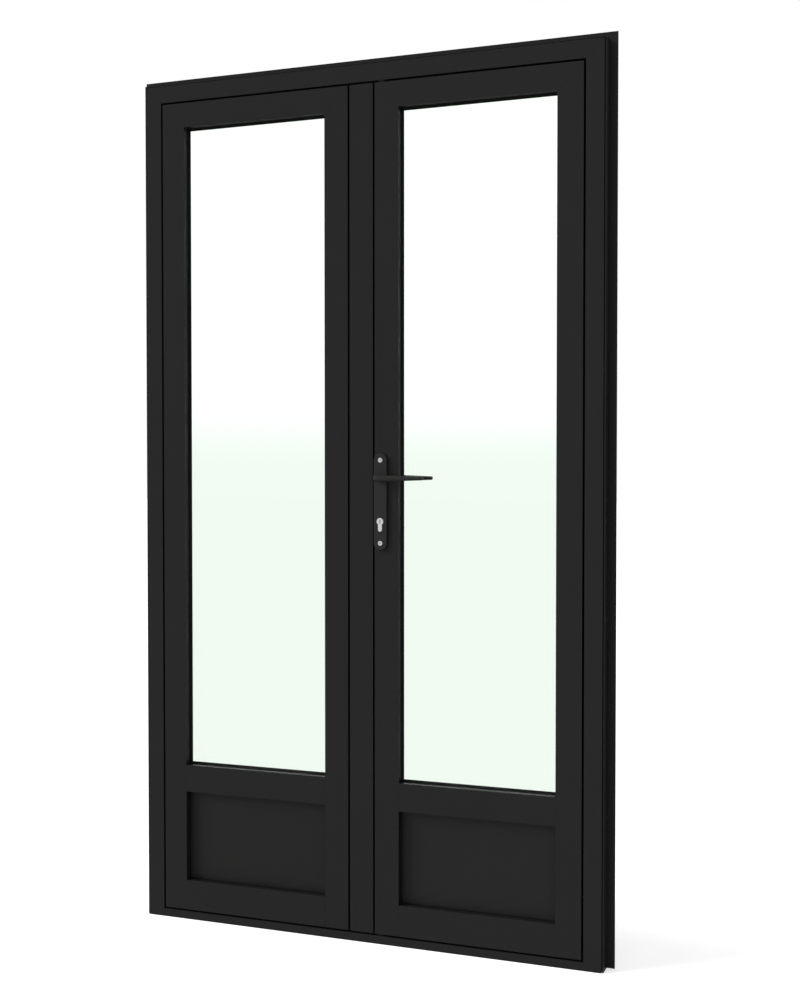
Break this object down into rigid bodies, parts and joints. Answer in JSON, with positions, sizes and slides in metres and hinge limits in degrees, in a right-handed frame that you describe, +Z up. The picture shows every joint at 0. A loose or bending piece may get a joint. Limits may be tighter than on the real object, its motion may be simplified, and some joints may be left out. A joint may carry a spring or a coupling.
{
  "type": "french doors",
  "caption": "Glazed french doors in a slim dark metal frame: inward-opening leaves with clear glass above a low panel, a centre post on the passive leaf, and a lever handle on the active leaf.",
  "frame": {"origin": "middle of the frame's width and depth, on the underside of the threshold", "axes": "+X to the right seen from outside, +Y into the room, +Z up"},
  "size_m": [1.243, 0.154, 2.1715],
  "materials": {
    "coated_profile": "satin",
    "coated_hardware": "satin",
    "bare_aluminium": "satin",
    "clear_glass": "polished",
    "black_rubber": "matte",
    "spacer_bar": "matte",
    "panel_board": "satin",
    "black_plastic": "matte",
    "plain_steel": "satin"
  },
  "bodies": {
    "frame": {"frame_head": "coated_profile", "frame_left_jamb": "coated_profile", "frame_right_jamb": "coated_profile", "threshold": "coated_profile", "frame_seal": "black_rubber", "bolt_keeps": "plain_steel", "frame_cleats": "bare_aluminium", "left_frame_hinges": "coated_hardware", "right_frame_hinges": "coated_hardware", "left_hinge_pins": "plain_steel", "right_hinge_pins": "plain_steel"},
    "left_leaf": {"left_hinge_stile": "coated_profile", "left_meeting_stile": "coated_profile", "left_top_rail": "coated_profile", "left_mid_rail": "coated_profile", "left_bottom_rail": "coated_profile", "left_cleats": "bare_aluminium", "left_outer_pane": "clear_glass", "left_inner_pane": "clear_glass", "left_spacer": "spacer_bar", "left_panel": "panel_board", "left_outer_seals": "black_rubber", "left_inner_seals": "black_rubber", "left_beads": "coated_profile", "left_leaf_hinges": "coated_hardware", "centre_post": "coated_profile", "post_caps": "black_plastic", "post_seal": "black_rubber", "strike_plate": "plain_steel", "slide_guides": "plain_steel"},
    "right_leaf": {"right_hinge_stile": "coated_profile", "right_meeting_stile": "coated_profile", "right_top_rail": "coated_profile", "right_mid_rail": "coated_profile", "right_bottom_rail": "coated_profile", "right_cleats": "bare_aluminium", "right_outer_pane": "clear_glass", "right_inner_pane": "clear_glass", "right_spacer": "spacer_bar", "right_panel": "panel_board", "right_outer_seals": "black_rubber", "right_inner_seals": "black_rubber", "right_beads": "coated_profile", "right_leaf_hinges": "coated_hardware", "lock_case": "plain_steel", "lock_faceplate": "plain_steel", "key_cylinder": "plain_steel", "outer_plate": "coated_hardware", "inner_plate": "coated_hardware", "plate_screws": "plain_steel"},
    "lever": {"outer_lever": "coated_hardware", "inner_lever": "coated_hardware", "spindle": "plain_steel", "lock_hub": "plain_steel"},
    "lock_bolt": {"lock_bolt": "plain_steel"},
    "key_plug": {"key_plug": "plain_steel"},
    "upper_slide_bolt": {"upper_slide_bolt": "plain_steel"},
    "lower_slide_bolt": {"lower_slide_bolt": "plain_steel"}
  },
  "joints": [
    {"name": "left_leaf_swing", "type": "hinge", "parent": "frame", "child": "left_leaf", "pos_m": [-0.576, 0.035, 0], "axis": [0, 0, 1], "range_deg": [0, 110]},
    {"name": "right_leaf_swing", "type": "hinge", "parent": "frame", "child": "right_leaf", "pos_m": [0.576, 0.035, 0], "axis": [0, 0, -1], "range_deg": [0, 110]},
    {"name": "lever_lift", "type": "hinge", "parent": "right_leaf", "child": "lever", "pos_m": [0.0525, 0, 1.1435], "axis": [0, -1, 0], "range_deg": [0, 60]},
    {"name": "lock_bolt_slide", "type": "slide", "parent": "right_leaf", "child": "lock_bolt", "axis": [-1, 0, 0], "range_m": [0, 0.01401]},
    {"name": "key_plug_turn", "type": "hinge", "parent": "right_leaf", "child": "key_plug", "pos_m": [0.0525, 0, 1.0385], "axis": [0, -1, 0], "range_deg": [0, 150]},
    {"name": "upper_bolt_slide", "type": "slide", "parent": "left_leaf", "child": "upper_slide_bolt", "axis": [0, 0, 1], "range_m": [0, 0.014]},
    {"name": "lower_bolt_slide", "type": "slide", "parent": "left_leaf", "child": "lower_slide_bolt", "axis": [0, 0, -1], "range_m": [0, 0.014]}
  ],
  "couplings": [
    {"joint": "lock_bolt_slide", "follows": "lever_lift", "m_per_rad": 0.013369}
  ]
}
